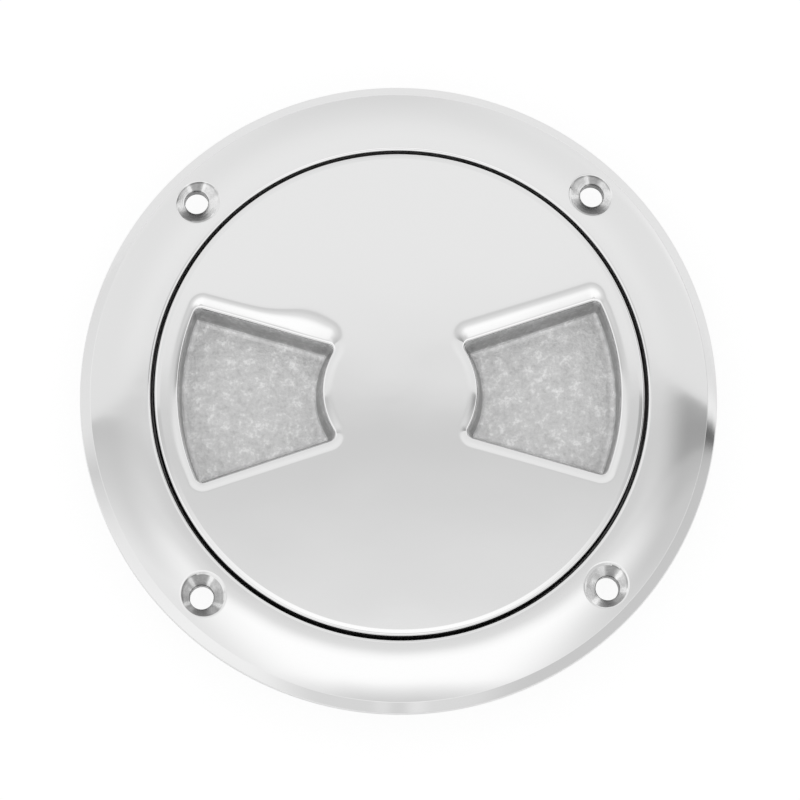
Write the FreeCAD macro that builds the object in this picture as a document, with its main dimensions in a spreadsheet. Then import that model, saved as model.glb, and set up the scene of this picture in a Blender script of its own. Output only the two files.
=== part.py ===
import FreeCAD, Part
import math
import os
import re

import Sketcher
from FreeCAD import Placement, Rotation, Vector

# Deck inspection plate of the screw-out kind, cast in stainless steel. Millimetres, +Z up.
# The origin is the centre of the screw circle, in the plane where the flange lies on the deck.
# The flange is above that plane, and the threaded collar goes down through the deck.

os.makedirs("parts", exist_ok=True)
document = FreeCAD.newDocument("deck_inspection_plate")

# Driving dimensions: lengths in millimetres, angles in degrees
sizes = {
    # Flange of the deck ring
    "flange_radius": 70.0,
    "flange_width": 15.7,
    "flange_height": 5.6,
    "crown_radius": 40.0,
    "bevel_width": 2.4,
    "bevel_round": 0.6,
    "edge_height": 1.9,
    "edge_round": 0.7,
    "underside_round": 0.3,
    # Recess that takes the cover's rim, and the ledge under the seal
    "recess_round": 1.5,
    "recess_land": 0.4,
    "ledge_height": 0.5,
    "ledge_width": 2.5,
    # Collar that goes through the deck
    "collar_wall": 3.9,
    "collar_depth": 15.0,
    "collar_chamfer": 0.7,
    "collar_fillet": 1.2,
    "relief_length": 4.0,
    "relief_clearance": 0.3,
    # Countersunk screw holes
    "screw_inset": 7.85,
    "screw_hole_radius": 2.6,
    "countersink_radius": 4.85,
    "countersink_half_angle": 45.0,
    "screw_count": 4,
    # Thread between collar and cover: one start, right hand
    "thread_lead": 3.2,
    "thread_ridge_width": 1.25,
    "thread_addendum": 0.4,
    "thread_dedendum": 0.8,
    "thread_flank_angle": 30.0,
    "thread_overcut": 0.2,
    # Rim and skirt of the cover
    "rim_clearance": 0.7,
    "rim_thickness": 2.9,
    "rim_round": 1.5,
    "rim_underside_round": 0.4,
    "crown_rise": 0.6,
    "plate_thickness": 3.4,
    "skirt_wall": 2.7,
    "skirt_depth": 10.5,
    "skirt_chamfer": 0.6,
    "skirt_fillet": 2.0,
    "shoulder_lift": 0.4,
    "undercut_depth": 1.9,
    # Finger pockets of the cover, and the bowls that hold them below
    "pocket_margin": 4.2,
    "pocket_inner_radius": 16.9,
    "pocket_side_angle": 17.3,
    "pocket_side_offset": 5.8,
    "pocket_depth": 8.6,
    "pocket_draft": 11.0,
    "pocket_corner_round": 2.0,
    "pocket_lip_round": 2.6,
    "pocket_floor_fillet": 1.2,
    "pocket_count": 2,
    "bowl_wall": 2.4,
    "bowl_inset": 0.5,
    "bowl_corner_round": 3.5,
    "bowl_floor_round": 2.0,
    "bowl_root_fillet": 1.2,
    # Seal
    "seal_section_radius": 1.15,
    "seal_fit": 0.2,
    "seal_outer_gap": 0.3,
}

sheet = document.addObject("Spreadsheet::Sheet", "dimensions")
for row, (alias, value) in enumerate(sizes.items(), start=1):
    sheet.set(f"A{row}", alias)
    sheet.set(f"B{row}", str(value))
    sheet.setAlias(f"B{row}", alias)
document.recompute()

# Heights and radii that follow from the driving dimensions, as formulas of the sheet
recess_radius = "(flange_radius - flange_width)"
recess_edge = f"({recess_radius} + recess_round + recess_land)"
screw_circle_radius = "(flange_radius - screw_inset)"
crown_drop = f"(crown_radius - sqrt(crown_radius ^ 2 - ({screw_circle_radius} - {recess_edge}) ^ 2))"
bevel_start = "(flange_radius - bevel_width)"
bevel_drop = f"(crown_radius - sqrt(crown_radius ^ 2 - ({bevel_start} - {recess_edge}) ^ 2))"
crown_at_bevel = f"(flange_height - {bevel_drop})"
ring_root = f"({recess_radius} - ledge_width)"
pitch_radius = f"({ring_root} - thread_dedendum)"
ring_crest = f"({pitch_radius} - thread_addendum)"
cover_crest = f"({pitch_radius} + thread_addendum)"
cover_root = f"({pitch_radius} - thread_dedendum)"
relief_radius = f"({ring_root} + relief_clearance)"
relief_top = "(relief_length - collar_depth)"
collar_radius = f"({relief_radius} + collar_wall)"
skirt_radius = f"({cover_root} - skirt_wall)"
seal_radius = f"({recess_radius} - seal_outer_gap - seal_section_radius)"
shoulder_radius = f"({seal_radius} - seal_section_radius - seal_fit)"
rim_radius = f"({recess_radius} - rim_clearance)"
pocket_outer_radius = f"({rim_radius} - pocket_margin)"
rim_underside = "(ledge_height + 2 * seal_section_radius + 2 * seal_fit)"
rim_top = f"({rim_underside} + rim_thickness)"
cover_top = f"({rim_top} + crown_rise)"
plate_underside = f"({cover_top} - plate_thickness)"
shoulder_bottom = "(ledge_height + shoulder_lift)"
groove_half = "((thread_lead - thread_ridge_width) / 2)"
cover_thread_start = "(-skirt_depth - thread_lead / 2)"
cover_thread_end = f"(({shoulder_bottom} - undercut_depth) / 2)"
ring_thread_start = f"({cover_thread_start} - thread_lead / 2)"
ring_thread_end = "(ledge_height + thread_lead)"


# Lengths closer than this count as the same when edges are looked up
near = 0.05


def linked(formula):
    """The formula with the sheet's name before each of its aliases."""
    return re.sub("[a-z_]+", lambda word: named(word.group()), formula)


def named(word):
    """One word of a formula: an alias is looked up in the sheet."""
    return f"dimensions.{word}" if word in sizes else word


def number(formula):
    """What a formula comes to now."""
    return float(sheet.evalExpression(formula))


def bind(feature, field, formula):
    """Tie one field of a feature to a formula of the sheet."""
    feature.setExpression(field, linked(formula))


def new_body(label):
    """An empty body at the origin of the part."""
    body = document.addObject("PartDesign::Body", label)
    body.Label = label
    body.Placement = Placement(Vector(0, 0, 0), Rotation())
    return body


def origin_feature(body, role):
    """The plane or axis of the body's own origin with this role."""
    return next(feature for feature in body.Origin.OriginFeatures if feature.Role == role)


def new_sketch(body, name, role, height="0"):
    """A sketch on one of the body's origin planes, raised to a height."""
    sketch = body.newObject("Sketcher::SketchObject", name)
    sketch.AttachmentSupport = [(origin_feature(body, role), "")]
    sketch.MapMode = "FlatFace"
    bind(sketch, "AttachmentOffset.Base.z", height)
    return sketch


def dimension(sketch, label, formula, kind, *where):
    """A named dimension of a sketch, tied to a formula."""
    value = number(formula)
    if kind == "Angle":
        value = math.radians(value)
    index = sketch.addConstraint(Sketcher.Constraint(kind, *where, value))
    sketch.renameConstraint(index, label)
    bind(sketch, f"Constraints.{label}", formula)


def place_point(sketch, label, curve, end, across, up):
    """Fix one end of a curve at its two coordinates."""
    dimension(sketch, f"{label}_across", across, "DistanceX", -1, 1, curve, end)
    dimension(sketch, f"{label}_up", up, "DistanceY", -1, 1, curve, end)


def close_loop(sketch, corners, crown=None):
    """A closed section through corners given as formulas; side 0 may be a crown arc."""
    points = [Vector(number(across), number(up), 0) for across, up in corners]
    for side, start in enumerate(points):
        finish = points[(side + 1) % len(points)]
        if side == 0 and crown:
            centre, radius = crown
            circle = Part.Circle(centre, Vector(0, 0, 1), radius)
            angles = [math.atan2(point.y - centre.y, point.x - centre.x) for point in (finish, start)]
            sketch.addGeometry(Part.ArcOfCircle(circle, *angles), False)
        else:
            sketch.addGeometry(Part.LineSegment(start, finish), False)
    for side in range(len(points)):
        # An arc runs anticlockwise, so the crown's two ends are the other way round
        end_of_side = 1 if side == 0 and crown else 2
        next_side = (side + 1) % len(points)
        start_of_next = 2 if next_side == 0 and crown else 1
        sketch.addConstraint(Sketcher.Constraint("Coincident", side, end_of_side, next_side, start_of_next))


def revolve(body, name, sketch):
    """Turn a section once round the part's axis."""
    turned = body.newObject("PartDesign::Revolution", name)
    turned.Profile = sketch
    turned.ReferenceAxis = (sketch, ["V_Axis"])
    turned.Angle = 360
    document.recompute()
    return turned


def round_edges(body, name, base, edges, size, kind="Fillet"):
    """Round or chamfer the edges of a feature that are given by number."""
    dressed = body.newObject(f"PartDesign::{kind}", name)
    dressed.Base = (base, [f"Edge{index}" for index in edges])
    bind(dressed, "Radius" if kind == "Fillet" else "Size", size)
    document.recompute()
    return dressed


def circles_at(feature, *places):
    """Numbers of the circular edges round the axis at each radius and height."""
    found = []
    for index, edge in enumerate(feature.Shape.Edges, start=1):
        if edge.Degenerated or not isinstance(edge.Curve, Part.Circle):
            continue
        centre = edge.Curve.Center
        if math.hypot(centre.x, centre.y) > near:
            continue
        for across, up in places:
            if abs(edge.Curve.Radius - number(across)) < near and abs(centre.z - number(up)) < near:
                found.append(index)
    return found


def edges_where(feature, chosen):
    """Numbers of the edges that pass a test on the radius and height of their lower and upper end."""
    found = []
    for index, edge in enumerate(feature.Shape.Edges, start=1):
        if edge.Degenerated:
            continue
        ends = [(math.hypot(vertex.X, vertex.Y), vertex.Z) for vertex in edge.Vertexes]
        ends.sort(key=lambda end: end[1])
        if chosen(*ends[0], *ends[-1]):
            found.append(index)
    return found


def cut_thread(body, name, start, end, open_side, floor):
    """Cut one helical groove from the open side of a wall to its floor."""
    sketch = new_sketch(body, f"{name}_profile", "XZ_Plane")
    depth = f"abs({floor} - {pitch_radius})"
    height = f"abs({open_side} - {pitch_radius})"
    mouth_half = f"({groove_half} + {height} * tan(thread_flank_angle))"
    floor_half = f"({groove_half} - {depth} * tan(thread_flank_angle))"
    corners = [
        (open_side, f"{start} - {mouth_half}"),
        (floor, f"{start} - {floor_half}"),
        (floor, f"{start} + {floor_half}"),
        (open_side, f"{start} + {mouth_half}"),
    ]
    close_loop(sketch, corners)
    for side, (across, up) in enumerate(corners):
        place_point(sketch, f"corner_{side}", side, 1, across, up)
    groove = body.newObject("PartDesign::SubtractiveHelix", name)
    groove.Profile = sketch
    groove.ReferenceAxis = (sketch, ["V_Axis"])
    groove.Mode = "pitch-height-angle"
    bind(groove, "Pitch", "thread_lead")
    bind(groove, "Height", f"{end} - {start}")
    groove.LeftHanded = False
    document.recompute()
    return groove


# Deck ring: flange, recess, ledge and collar are one turned section
ring = new_body("deck_ring")
section = new_sketch(ring, "ring_section", "XZ_Plane")
crown_centre = Vector(number(recess_edge), number("flange_height - crown_radius"), 0)
ring_corners = [
    (recess_edge, "flange_height"),
    (bevel_start, crown_at_bevel),
    ("flange_radius", "edge_height"),
    ("flange_radius", "0"),
    (collar_radius, "0"),
    (collar_radius, "-collar_depth"),
    (relief_radius, "-collar_depth"),
    (relief_radius, relief_top),
    (ring_crest, f"{relief_top} + {relief_radius} - {ring_crest}"),
    (ring_crest, f"ledge_height + {ring_crest} - {ring_root}"),
    (ring_root, "ledge_height"),
    (recess_radius, "ledge_height"),
    (recess_radius, "flange_height"),
]
close_loop(section, ring_corners, (crown_centre, number("crown_radius")))
dimension(section, "crown_arc", "crown_radius", "Radius", 0)
dimension(section, "crown_centre", recess_edge, "DistanceX", -1, 1, 0, 3)
place_point(section, "crown_start", 0, 2, recess_edge, "flange_height")
dimension(section, "bevel_start", bevel_start, "DistanceX", -1, 1, 0, 1)
for side, (across, up) in enumerate(ring_corners):
    if side > 1:
        place_point(section, f"corner_{side}", side, 1, across, up)
ring_turned = revolve(ring, "ring_turned", section)
ring_dressed = ring_turned
for name, across, up, size in (
    ("recess_rounded", recess_radius, "flange_height", "recess_round"),
    ("bevel_rounded", bevel_start, crown_at_bevel, "bevel_round"),
    ("edge_rounded", "flange_radius", "edge_height", "edge_round"),
    ("underside_rounded", "flange_radius", "0", "underside_round"),
    ("collar_filleted", collar_radius, "0", "collar_fillet"),
):
    ring_dressed = round_edges(ring, name, ring_dressed, circles_at(ring_dressed, (across, up)), size)
collar_ends = circles_at(ring_dressed, (collar_radius, "-collar_depth"), (relief_radius, "-collar_depth"))
round_edges(ring, "collar_chamfered", ring_dressed, collar_ends, "collar_chamfer", "Chamfer")

# Screw holes: a countersink is set out at the height of the flange, above the crowned surface
hole_sketch = new_sketch(ring, "screw_hole_centre", "XY_Plane", "flange_height")
half_step = "(180 / screw_count)"
screw_across = f"{screw_circle_radius} * cos({half_step})"
screw_up = f"{screw_circle_radius} * sin({half_step})"
hole_circle = Part.Circle(
    Vector(number(screw_across), number(screw_up), 0), Vector(0, 0, 1), number("screw_hole_radius")
)
hole_sketch.addGeometry(hole_circle, False)
place_point(hole_sketch, "centre", 0, 3, screw_across, screw_up)
dimension(hole_sketch, "hole", "screw_hole_radius", "Radius", 0)
document.recompute()
screw_hole = ring.newObject("PartDesign::Hole", "screw_hole")
screw_hole.Profile = hole_sketch
screw_hole.DepthType = "ThroughAll"
screw_hole.HoleCutType = "Countersink"
bind(screw_hole, "Diameter", "2 * screw_hole_radius")
bind(screw_hole, "HoleCutCountersinkAngle", "2 * countersink_half_angle")
bind(
    screw_hole,
    "HoleCutDiameter",
    f"2 * (countersink_radius + {crown_drop} * tan(countersink_half_angle))",
)
document.recompute()
screw_holes = ring.newObject("PartDesign::PolarPattern", "screw_holes")
screw_holes.Originals = [screw_hole]
screw_holes.Axis = (origin_feature(ring, "Z_Axis"), [""])
screw_holes.Angle = 360
bind(screw_holes, "Occurrences", "screw_count")
ring.Tip = screw_holes
document.recompute()

# The collar's thread: ridges left standing between the turns of one helical groove
inside_ring = f"({ring_crest} - thread_overcut)"
ring.Tip = cut_thread(ring, "collar_thread", ring_thread_start, ring_thread_end, inside_ring, ring_root)

# Cover: plate, rim, shoulder and skirt are one turned section
cover = new_body("cover")
cover_section = new_sketch(cover, "cover_section", "YZ_Plane")
cover_corners = [
    ("0", cover_top),
    (rim_radius, rim_top),
    (rim_radius, rim_underside),
    (shoulder_radius, rim_underside),
    (shoulder_radius, shoulder_bottom),
    (cover_root, shoulder_bottom),
    (cover_root, "-undercut_depth"),
    (cover_crest, f"-undercut_depth - {cover_crest} + {cover_root}"),
    (cover_crest, "-skirt_depth"),
    (skirt_radius, "-skirt_depth"),
    (skirt_radius, plate_underside),
    ("0", plate_underside),
]
dome_radius = f"(({rim_radius} ^ 2 + crown_rise ^ 2) / (2 * crown_rise))"
dome_centre = Vector(0, number(f"{cover_top} - {dome_radius}"), 0)
close_loop(cover_section, cover_corners, (dome_centre, number(dome_radius)))
dimension(cover_section, "dome_centre", "0", "DistanceX", -1, 1, 0, 3)
place_point(cover_section, "dome_top", 0, 2, "0", cover_top)
place_point(cover_section, "dome_edge", 0, 1, rim_radius, rim_top)
for side, (across, up) in enumerate(cover_corners):
    if side > 1:
        place_point(cover_section, f"corner_{side}", side, 1, across, up)
cover_turned = revolve(cover, "cover_turned", cover_section)
cover_dressed = cover_turned
for name, across, up, size in (
    ("rim_rounded", rim_radius, rim_top, "rim_round"),
    ("rim_eased", rim_radius, rim_underside, "rim_underside_round"),
    ("skirt_filleted", skirt_radius, plate_underside, "skirt_fillet"),
):
    cover_dressed = round_edges(cover, name, cover_dressed, circles_at(cover_dressed, (across, up)), size)
skirt_ends = circles_at(cover_dressed, (cover_crest, "-skirt_depth"), (skirt_radius, "-skirt_depth"))
round_edges(cover, "skirt_chamfered", cover_dressed, skirt_ends, "skirt_chamfer", "Chamfer")
outside_skirt = f"({cover_crest} + thread_overcut)"
cut_thread(cover, "skirt_thread", cover_thread_start, cover_thread_end, outside_skirt, cover_root)


def fan_sketch(body, name, height, outer, inner, offset):
    """A fan between two arcs round the axis, with two straight sides that open outwards."""
    sketch = new_sketch(body, name, "XY_Plane", height)
    slope = math.radians(number("pocket_side_angle"))
    away = number(offset)
    ends = []
    for radius in (number(outer), number(inner)):
        along = math.sqrt(radius ** 2 - away ** 2)
        ends.append(math.atan2(away, along) + slope)
    for radius, end in zip((number(outer), number(inner)), ends):
        circle = Part.Circle(Vector(0, 0, 0), Vector(0, 0, 1), radius)
        sketch.addGeometry(Part.ArcOfCircle(circle, -end, end), False)
    for sign in (1, -1):
        points = []
        for radius, end in zip((number(inner), number(outer)), reversed(ends)):
            points.append(Vector(radius * math.cos(end), sign * radius * math.sin(end), 0))
        sketch.addGeometry(Part.LineSegment(*points), False)
    outer_arc, inner_arc, upper_side, lower_side = range(4)
    for arc, radius_formula, label in ((outer_arc, outer, "outer"), (inner_arc, inner, "inner")):
        sketch.addConstraint(Sketcher.Constraint("Coincident", arc, 3, -1, 1))
        dimension(sketch, f"{label}_radius", radius_formula, "Radius", arc)
    for side, arc_end in ((upper_side, 2), (lower_side, 1)):
        sketch.addConstraint(Sketcher.Constraint("Coincident", side, 1, inner_arc, arc_end))
        sketch.addConstraint(Sketcher.Constraint("Coincident", side, 2, outer_arc, arc_end))
    dimension(sketch, "upper_angle", "pocket_side_angle", "Angle", upper_side)
    dimension(sketch, "lower_angle", "-pocket_side_angle", "Angle", lower_side)
    dimension(sketch, "upper_offset", offset, "Distance", -1, 1, upper_side)
    dimension(sketch, "lower_offset", offset, "Distance", -1, 1, lower_side)
    document.recompute()
    return sketch


# Bowls under the plate, one for each finger pocket
drawn_in = f"(({cover_top} - {plate_underside}) * tan(pocket_draft))"
bowl_depth = "(pocket_depth + bowl_wall - plate_thickness)"
bowl_fan = fan_sketch(
    cover,
    "bowl_fan",
    plate_underside,
    f"({cover_root} - bowl_inset)",
    f"(pocket_inner_radius + {drawn_in} - bowl_wall)",
    f"(pocket_side_offset - {drawn_in} + bowl_wall)",
)
bowl = cover.newObject("PartDesign::Pad", "bowl")
bowl.Profile = bowl_fan
bind(bowl, "Length", bowl_depth)
bowl.Reversed = True
bind(bowl, "TaperAngle", "-pocket_draft")
document.recompute()
pocket_fan = fan_sketch(
    cover, "pocket_fan", cover_top, pocket_outer_radius, "pocket_inner_radius", "pocket_side_offset"
)
pocket = cover.newObject("PartDesign::Pocket", "finger_pocket")
pocket.Profile = pocket_fan
bind(pocket, "Length", "pocket_depth")
bind(pocket, "TaperAngle", "-pocket_draft")
document.recompute()
pockets = cover.newObject("PartDesign::PolarPattern", "finger_pockets")
pockets.Originals = [bowl, pocket]
pockets.Axis = (origin_feature(cover, "Z_Axis"), [""])
pockets.Angle = 360
bind(pockets, "Occurrences", "pocket_count")
cover.Tip = pockets
document.recompute()

floor_height = number(f"{cover_top} - pocket_depth")
bowl_height = number(f"{plate_underside} - {bowl_depth}")
underside_height = number(plate_underside)
rim_height = number(rim_top)
innermost = number("pocket_inner_radius") - near
outermost = number(pocket_outer_radius) + near
midway = (innermost + outermost) / 2


def from_pocket_floor(low_radius, low_height, high_radius, high_height):
    """A pocket's corner, from its floor to the top of the cover."""
    return abs(low_height - floor_height) < near and high_height > rim_height


def round_pocket_floor(low_radius, low_height, high_radius, high_height):
    """The edge where a pocket's walls meet its floor."""
    level = abs(low_height - floor_height) < near and abs(high_height - floor_height) < near
    return level and innermost < low_radius < outermost


def on_pocket_lip(low_radius, low_height, high_radius, high_height):
    """The edge where a pocket's walls meet the top of the cover."""
    in_band = min(low_radius, high_radius) > innermost and max(low_radius, high_radius) < outermost
    return low_height > rim_height and in_band


def up_bowl_corner(low_radius, low_height, high_radius, high_height):
    """A bowl's corner near the middle of the cover, from its bottom to the plate."""
    climbs = abs(low_height - bowl_height) < near and high_height > underside_height - near
    return climbs and low_radius < midway


def round_bowl_bottom(low_radius, low_height, high_radius, high_height):
    """The edge round a bowl's bottom, apart from the side that the skirt holds."""
    level = abs(low_height - bowl_height) < near and abs(high_height - bowl_height) < near
    return level and min(low_radius, high_radius) < midway


def round_bowl_root(low_radius, low_height, high_radius, high_height):
    """The edge where a bowl's sides meet the plate."""
    level = abs(low_height - underside_height) < near and abs(high_height - underside_height) < near
    return level and 0 < min(low_radius, high_radius) < midway


rounded = pockets
for name, chosen, size in (
    ("corners_rounded", from_pocket_floor, "pocket_corner_round"),
    ("floors_filleted", round_pocket_floor, "pocket_floor_fillet"),
    ("lips_rounded", on_pocket_lip, "pocket_lip_round"),
    ("bowls_cornered", up_bowl_corner, "bowl_corner_round"),
    ("bowls_rounded", round_bowl_bottom, "bowl_floor_round"),
    ("bowls_rooted", round_bowl_root, "bowl_root_fillet"),
):
    rounded = round_edges(cover, name, rounded, edges_where(rounded, chosen), size)
cover.Tip = rounded
document.recompute()

# Seal: a rubber ring round the cover's shoulder, between the rim and the ledge
seal = new_body("o_ring")
seal_sketch = new_sketch(seal, "seal_section", "XZ_Plane")
seal_up = "ledge_height + seal_fit + seal_section_radius"
seal_centre = Vector(number(seal_radius), number(seal_up), 0)
seal_sketch.addGeometry(Part.Circle(seal_centre, Vector(0, 0, 1), number("seal_section_radius")), False)
place_point(seal_sketch, "centre", 0, 3, seal_radius, seal_up)
dimension(seal_sketch, "section", "seal_section_radius", "Radius", 0)
revolve(seal, "seal_turned", seal_sketch)

# Every step has to have worked, and every piece has to be one sound solid, before anything is written
document.recompute()
for feature in document.Objects:
    if "Invalid" in feature.State or "Error" in feature.State:
        raise RuntimeError(f"{feature.Label} failed")
for piece in (ring, cover, seal):
    shape = piece.Shape
    if shape.isNull() or not shape.isValid() or len(shape.Solids) != 1:
        raise RuntimeError(f"{piece.Label} is not one sound solid")
    print(piece.Label, round(shape.Volume / 1000, 2), "cubic centimetres")
for piece in (ring, cover, seal):
    piece.Shape.exportStep(f"parts/{piece.Label}.step")
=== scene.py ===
# %% [markdown]
# # A screw-out deck inspection plate
# The real object is three pieces of boat hardware: a cast stainless deck ring that four countersunk
# screws hold to the deck, a cast stainless cover that screws into it, and a rubber seal between them.
# Its look is nearly all reflection: broad polished faces, soft rounded lips and dull cast pockets.
# So each casting gets a new, finely divided skin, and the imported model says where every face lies.

# %% Load the fixed frame
import math

import bmesh
import bpy
import numpy as np
from mathutils import Matrix, Vector, kdtree, noise


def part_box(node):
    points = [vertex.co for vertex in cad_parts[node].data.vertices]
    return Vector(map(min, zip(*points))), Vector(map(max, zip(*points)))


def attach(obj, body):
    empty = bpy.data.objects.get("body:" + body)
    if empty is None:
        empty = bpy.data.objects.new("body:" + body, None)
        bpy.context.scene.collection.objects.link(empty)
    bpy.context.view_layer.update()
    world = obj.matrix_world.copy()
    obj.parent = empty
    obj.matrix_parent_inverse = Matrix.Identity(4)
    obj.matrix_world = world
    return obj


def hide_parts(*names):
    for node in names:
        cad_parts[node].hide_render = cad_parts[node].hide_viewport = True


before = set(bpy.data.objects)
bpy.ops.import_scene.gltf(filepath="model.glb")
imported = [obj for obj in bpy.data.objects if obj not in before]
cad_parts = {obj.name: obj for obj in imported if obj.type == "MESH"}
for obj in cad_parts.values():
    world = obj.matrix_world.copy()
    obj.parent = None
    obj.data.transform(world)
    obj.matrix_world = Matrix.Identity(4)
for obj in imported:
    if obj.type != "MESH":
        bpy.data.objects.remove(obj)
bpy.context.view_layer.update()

# %% [markdown]
# ## Sizes
# Lengths are in metres, as everywhere in the scene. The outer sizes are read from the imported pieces,
# and the rest are the casting's own: heights of faces, radii of rounds and the outline of the pockets.

# %% Sizes of the castings
mm = 0.001
ring_low, ring_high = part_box("deck_ring")
cover_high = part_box("cover")[1]
seal_low, seal_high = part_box("o_ring")

flange_radius = ring_high.x
flange_height = ring_high.z
recess_radius = 54.3 * mm
ledge_height = 0.5 * mm
recess_round = 0.8 * mm
crown_start = 56.2 * mm
crown_radius = 40.0 * mm
bevel_start = 67.6 * mm
bevel_round = 0.3 * mm
edge_height = 1.9 * mm
edge_round = 0.7 * mm
underside_round = 0.3 * mm

screw_circle = 62.15 * mm
screw_hole = 2.6 * mm
countersink = 4.85 * mm

cover_top = cover_high.z
rim_radius = cover_high.x
rim_underside = 3.2 * mm
rim_round = 0.8 * mm
rim_slope = math.radians(9.0)
rim_slope_start = 52.3 * mm
rim_underside_round = 0.4 * mm
crown_rise = 0.6 * mm
dome_radius = (rim_radius ** 2 + crown_rise ** 2) / (2 * crown_rise)

pocket_outer = 49.4 * mm
pocket_inner = 16.9 * mm
pocket_offset = 5.8 * mm
pocket_slope = math.radians(17.3)
pocket_draft = math.radians(11.0)
pocket_floor = cover_top - 8.6 * mm
floor_fillet = 1.2 * mm
print("flange", round(flange_radius / mm, 2), "rim", round(rim_radius / mm, 2), "mm")
print("top of the cover", round(cover_top / mm, 2), "mm")

# %% [markdown]
# ## Camera
# The plate lies on its deck side and is photographed from nearly straight above, a little from its
# front and left. A long lens from about four and a half plate widths keeps its outline almost round.

# %% Camera
view_tilt = math.radians(10.8)
view_turn = math.radians(11.0)
view_roll = math.radians(1.5)
view_distance = 0.60
plate_share = 639 / 800
sensor = 36.0
target = Vector((0.0, -1.5 * mm, 3.0 * mm))

camera_data = bpy.data.cameras.new("camera")
camera = bpy.data.objects.new("camera", camera_data)
bpy.context.scene.collection.objects.link(camera)
towards_camera = Vector((
    -math.sin(view_tilt) * math.sin(view_turn),
    -math.sin(view_tilt) * math.cos(view_turn),
    math.cos(view_tilt),
))
camera.location = target + view_distance * towards_camera
image_up = Vector((math.sin(view_roll), math.cos(view_roll), 0.0))
image_right = image_up.cross(towards_camera).normalized()
image_up = towards_camera.cross(image_right)
turning = Matrix((image_right, image_up, towards_camera)).transposed()
camera.rotation_euler = turning.to_euler()
camera_data.sensor_width = sensor
camera_data.lens = sensor * view_distance * plate_share / (2 * flange_radius)
camera_data.clip_start = 0.01
bpy.context.scene.camera = camera
print("lens", round(camera_data.lens, 1), "mm")

# %% [markdown]
# ## Modelling helpers
# Both castings are made like a lathe or a loft would make them: one closed loop is a circle
# primitive, and each further loop is extruded from it and put in its place. Flat faces with openings
# are a grid that is trimmed to its outline and filled in up to the loops round it.

# %% Helpers: loops that are pulled into a skin
def edit_mesh():
    """The mesh that is open in edit mode."""
    return bmesh.from_edit_mesh(bpy.context.edit_object.data)


def add_loop(places):
    """A closed loop: a circle primitive whose corners go to the given places. It stays selected."""
    bpy.ops.mesh.select_all(action="DESELECT")
    bpy.ops.mesh.primitive_circle_add(vertices=len(places))
    corners = [vertex for vertex in edit_mesh().verts if vertex.select]
    for vertex, place in zip(corners, places):
        vertex.co = place
    bmesh.update_edit_mesh(bpy.context.edit_object.data)


def start_piece(name, places):
    """A new piece at the origin, open in edit mode, with its first loop."""
    bpy.ops.object.select_all(action="DESELECT")
    bpy.ops.mesh.primitive_circle_add(vertices=len(places))
    piece = bpy.context.object
    piece.name = name
    bpy.ops.object.mode_set(mode="EDIT")
    for vertex, place in zip(edit_mesh().verts, places):
        vertex.co = place
    bmesh.update_edit_mesh(piece.data)
    return piece


def pull(old_places, new_places):
    """Extrude the selected loop and move each new corner from its old place to its new one."""
    bpy.ops.mesh.extrude_edges_indiv()
    finder = kdtree.KDTree(len(old_places))
    for number, place in enumerate(old_places):
        finder.insert(place, number)
    finder.balance()
    for vertex in edit_mesh().verts:
        if vertex.select:
            vertex.co = new_places[finder.find(vertex.co)[1]]
    bmesh.update_edit_mesh(bpy.context.edit_object.data)


def pull_through(rows):
    """Pull the selected loop, which is rows[0], through all further rows."""
    for old_places, new_places in zip(rows, rows[1:]):
        pull(old_places, new_places)


def circle(radius, height, count, centre=(0.0, 0.0)):
    """Places round a level circle."""
    turns = [2 * math.pi * step / count for step in range(count)]
    return [
        Vector((centre[0] + radius * math.cos(turn), centre[1] + radius * math.sin(turn), height))
        for turn in turns
    ]


# %% [markdown]
# A corner of a turned section is rounded the way a draughtsman does it: an arc that touches both
# sides. The helper works on a section given as corners, each with the radius of its round.

# %% Helper: a section with rounded corners
def rounded_section(corners, step=math.radians(9)):
    """Points of a section from (across, up, round) corners."""
    points = [Vector(corners[0][:2])]
    for before, corner, after in zip(corners, corners[1:], corners[2:]):
        here, radius = Vector(corner[:2]), corner[2]
        back = (Vector(before[:2]) - here).normalized()
        on = (Vector(after[:2]) - here).normalized()
        if radius == 0:
            points.append(here)
            continue
        half = math.acos(max(-1.0, min(1.0, back.dot(on)))) / 2
        centre = here + (back + on).normalized() * radius / math.sin(half)
        start = here + back * radius / math.tan(half) - centre
        sweep = math.pi - 2 * half
        side = 1 if back.x * on.y - back.y * on.x < 0 else -1
        arcs = max(2, math.ceil(sweep / step))
        for arc in range(arcs + 1):
            angle = side * sweep * arc / arcs
            turned = Vector((
                start.x * math.cos(angle) - start.y * math.sin(angle),
                start.x * math.sin(angle) + start.y * math.cos(angle),
            ))
            points.append(centre + turned)
    points.append(Vector(corners[-1][:2]))
    return points


# %% [markdown]
# Trimming and filling need a choice of corners or edges. They are chosen in code, by place.

# %% Helpers: choose, trim and fill
def inside(loop, places):
    """Which places lie inside a closed loop, seen from above."""
    xs, ys = np.array([[place[0], place[1]] for place in places]).reshape(-1, 2, 1).transpose(1, 0, 2)
    starts = np.array([[corner[0], corner[1]] for corner in loop])
    ends = np.roll(starts, -1, axis=0)
    rises = np.where(ends[:, 1] == starts[:, 1], 1.0, ends[:, 1] - starts[:, 1])
    crossings = starts[:, 0] + (ys - starts[:, 1]) / rises * (ends[:, 0] - starts[:, 0])
    spans = (starts[:, 1] > ys) != (ends[:, 1] > ys)
    return np.count_nonzero(spans & (xs < crossings), axis=1) % 2 == 1


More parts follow.
